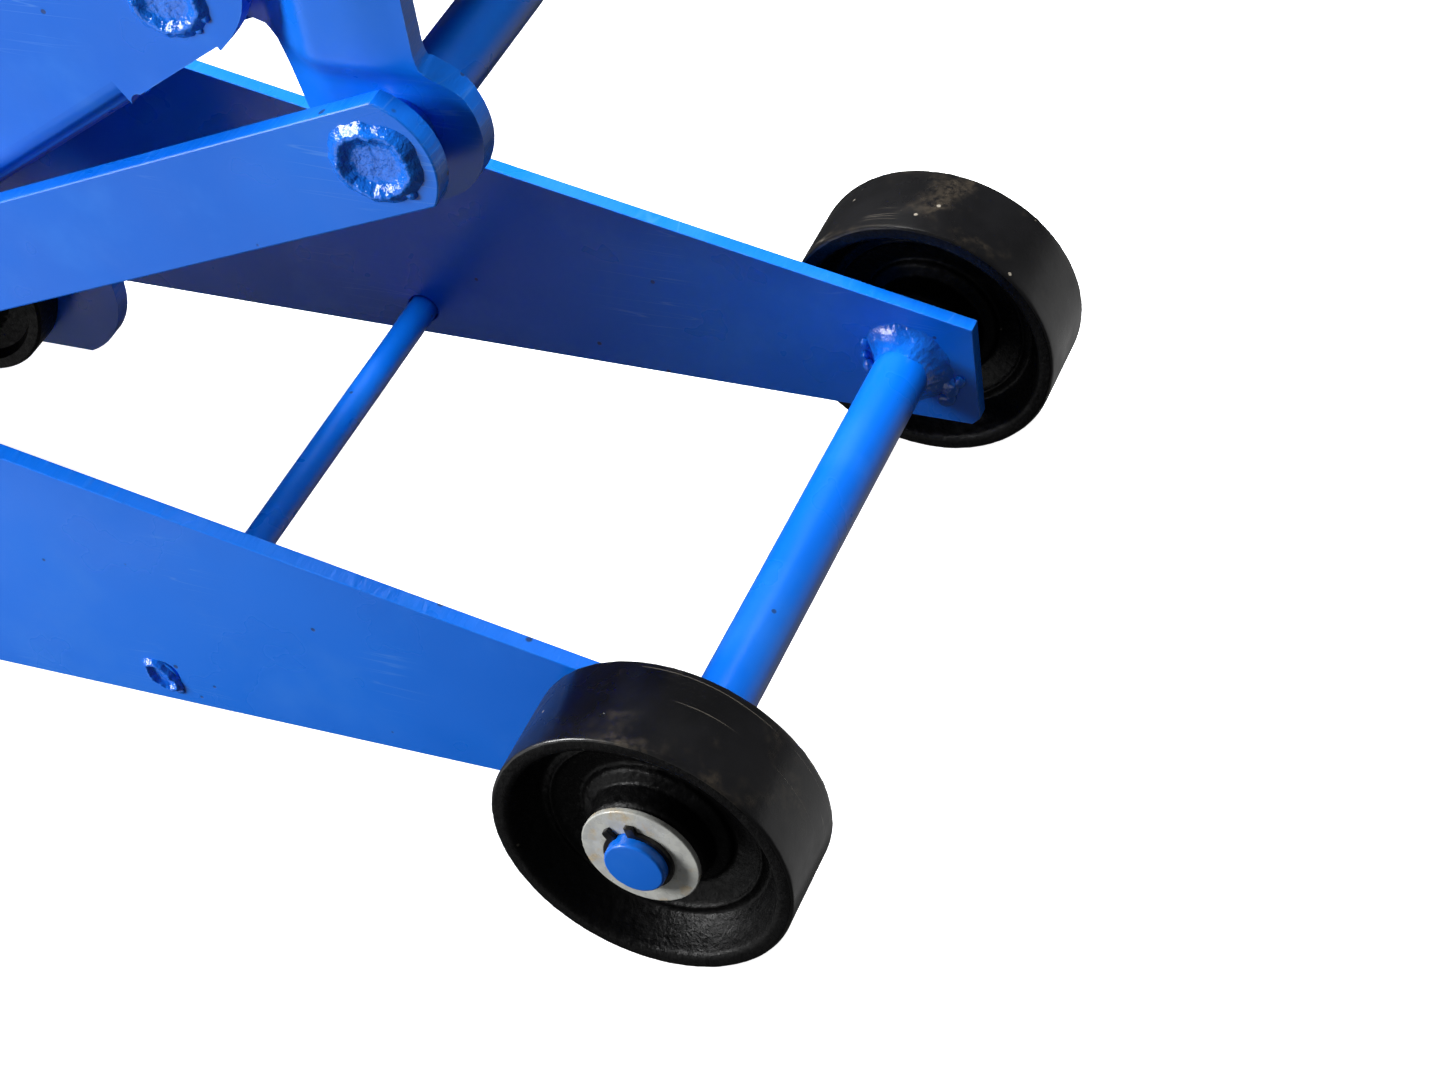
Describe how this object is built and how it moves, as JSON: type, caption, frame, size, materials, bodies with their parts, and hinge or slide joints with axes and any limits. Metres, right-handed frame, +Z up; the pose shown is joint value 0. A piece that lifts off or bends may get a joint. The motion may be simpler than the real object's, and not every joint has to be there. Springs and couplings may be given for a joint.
{
  "type": "trolley jack",
  "caption": "Low wheeled trolley jack: a lift arm and parallel radius links raise a level saddle, worked by a hydraulic ram and a pump handle.",
  "frame": {"origin": "on the floor under the middle of the whole jack, handle included", "axes": "+X to the front along the chassis, +Y to the left side, +Z up"},
  "size_m": [1.2636, 0.344, 0.7581],
  "materials": {
    "blue_paint": "satin-gloss blue enamel with small chips on cut edges",
    "black_cast": "black painted casting with a fine cast texture",
    "zinc": "zinc plated, slightly stained",
    "bright_steel": "machined and oiled",
    "spring_steel": "black oxide spring steel",
    "chrome_rod": "hard chrome",
    "rubber": "matt black rubber"
  },
  "bodies": {
    "chassis": {"side_plate_left": "blue_paint", "side_plate_right": "blue_paint", "front_axle": "blue_paint", "axle_weld_beads": "blue_paint", "tie_rod": "blue_paint", "tie_rod_welds": "blue_paint", "main_pivot_shaft": "bright_steel", "main_pivot_spacers": "bright_steel", "main_pivot_nuts": "zinc", "cradle_rail_left": "blue_paint", "cradle_rail_right": "blue_paint", "cradle_cross_bar": "blue_paint", "rear_cross_plate": "blue_paint", "cradle_bolts": "zinc", "stop_roller_pin": "zinc", "caster_bracket_left": "blue_paint", "caster_bracket_right": "blue_paint", "pump_block": "black_cast", "socket_pins": "zinc", "oil_tank": "blue_paint", "ram_cylinder": "bright_steel", "gland_nut": "black_cast", "filler_plug": "black_cast", "wheel_inner_spacers": "zinc", "wheel_washers": "zinc", "wheel_circlips": "spring_steel", "pump_spring": "spring_steel"},
    "lift_arm": {"lift_arm": "blue_paint", "arm_hub_tube": "bright_steel", "tail_levers": "blue_paint", "tail_roller_pin": "zinc", "arm_stop_tube": "blue_paint", "arm_pin": "bright_steel", "arm_pin_welds": "blue_paint"},
    "tail_roller": {"tail_roller": "bright_steel"},
    "radius_links": {"radius_link_left": "blue_paint", "radius_link_right": "blue_paint", "link_cross_shaft": "blue_paint", "link_welds": "blue_paint", "link_pivot_pins": "bright_steel", "link_pin_circlips": "zinc"},
    "saddle_bracket": {"saddle_bracket": "blue_paint", "bracket_spacers": "zinc"},
    "saddle": {"saddle": "black_cast", "saddle_circlip": "spring_steel"},
    "ram": {"ram": "chrome_rod"},
    "stop_roller": {"stop_roller": "black_cast"},
    "front_wheel_left": {"front_wheel_left": "black_cast"},
    "front_wheel_right": {"front_wheel_right": "black_cast"},
    "caster_fork_left": {"caster_fork_left": "zinc"},
    "caster_fork_right": {"caster_fork_right": "zinc"},
    "caster_wheel_left": {"caster_wheel_left": "black_cast"},
    "caster_wheel_right": {"caster_wheel_right": "black_cast"},
    "handle_socket": {"handle_socket": "blue_paint"},
    "pump_roller": {"pump_roller": "bright_steel"},
    "handle": {"handle_lower_tube": "blue_paint", "handle_upper_tube": "blue_paint", "handle_grip": "rubber"},
    "release_valve": {"release_valve": "zinc"},
    "pump_piston": {"pump_piston": "bright_steel"}
  },
  "joints": [
    {"name": "arm_lift", "type": "hinge", "parent": "chassis", "child": "lift_arm", "pos_m": [0.11137, 0, 0.158], "axis": [0, -1, 0], "range_deg": [-34.5, 32]},
    {"name": "links_swing", "type": "hinge", "parent": "chassis", "child": "radius_links", "pos_m": [0.17467, 0, 0.1192], "axis": [0, -1, 0], "range_deg": [-34.5, 32]},
    {"name": "bracket_level", "type": "hinge", "parent": "lift_arm", "child": "saddle_bracket", "pos_m": [0.44397, 0, 0.29577], "axis": [0, -1, 0], "range_deg": [-32, 34.5]},
    {"name": "saddle_swivel", "type": "hinge", "parent": "saddle_bracket", "child": "saddle", "pos_m": [0.47197, 0, 0.32177], "axis": [0, 0, 1], "continuous": true},
    {"name": "tail_roller_spin", "type": "hinge", "parent": "lift_arm", "child": "tail_roller", "pos_m": [0.11137, 0, 0.083], "axis": [0, 1, 0], "continuous": true},
    {"name": "ram_slide", "type": "slide", "parent": "chassis", "child": "ram", "axis": [1, 0, 0], "range_m": [-0.04275, 0.03965]},
    {"name": "stop_roller_spin", "type": "hinge", "parent": "chassis", "child": "stop_roller", "pos_m": [0.22677, 0, 0.068], "axis": [0, 1, 0], "continuous": true},
    {"name": "front_wheel_left_spin", "type": "hinge", "parent": "chassis", "child": "front_wheel_left", "pos_m": [0.58177, 0.12615, 0.05], "axis": [0, 1, 0], "continuous": true},
    {"name": "front_wheel_right_spin", "type": "hinge", "parent": "chassis", "child": "front_wheel_right", "pos_m": [0.58177, -0.12615, 0.05], "axis": [0, 1, 0], "continuous": true},
    {"name": "caster_left_swivel", "type": "hinge", "parent": "chassis", "child": "caster_fork_left", "pos_m": [-0.16023, 0.139, 0.07], "axis": [0, 0, 1], "continuous": true},
    {"name": "caster_left_spin", "type": "hinge", "parent": "caster_fork_left", "child": "caster_wheel_left", "pos_m": [-0.18223, 0.139, 0.03], "axis": [0, 1, 0], "continuous": true},
    {"name": "caster_right_swivel", "type": "hinge", "parent": "chassis", "child": "caster_fork_right", "pos_m": [-0.16023, -0.139, 0.07], "axis": [0, 0, 1], "continuous": true},
    {"name": "caster_right_spin", "type": "hinge", "parent": "caster_fork_right", "child": "caster_wheel_right", "pos_m": [-0.18223, -0.139, 0.03], "axis": [0, 1, 0], "continuous": true},
    {"name": "handle_pump", "type": "hinge", "parent": "chassis", "child": "handle_socket", "pos_m": [-0.13023, 0, 0.165], "axis": [0, -1, 0], "range_deg": [-35, 35]},
    {"name": "pump_roller_spin", "type": "hinge", "parent": "handle_socket", "child": "pump_roller", "pos_m": [-0.16023, 0, 0.165], "axis": [0, 1, 0], "continuous": true},
    {"name": "handle_twist", "type": "hinge", "parent": "handle_socket", "child": "handle", "pos_m": [-0.13023, 0, 0.165], "axis": [-0.6428, 0, 0.766], "range_deg": [0, 120]},
    {"name": "release_valve_turn", "type": "hinge", "parent": "chassis", "child": "release_valve", "pos_m": [-0.13023, 0, 0.165], "axis": [0, 0, 1], "range_deg": [0, 120]},
    {"name": "pump_piston_stroke", "type": "slide", "parent": "chassis", "child": "pump_piston", "axis": [0, 0, -1], "range_m": [-0.0173, 0.0173], "deforming": ["pump_spring"]}
  ],
  "couplings": [
    {"joint": "links_swing", "follows": "arm_lift", "ratio": 1},
    {"joint": "bracket_level", "follows": "arm_lift", "ratio": -1},
    {"joint": "ram_slide", "follows": "arm_lift", "m_per_rad": 0.0709},
    {"joint": "pump_piston_stroke", "follows": "handle_pump", "m_per_rad": 0.02815},
    {"joint": "release_valve_turn", "follows": "handle_twist", "ratio": 1}
  ]
}
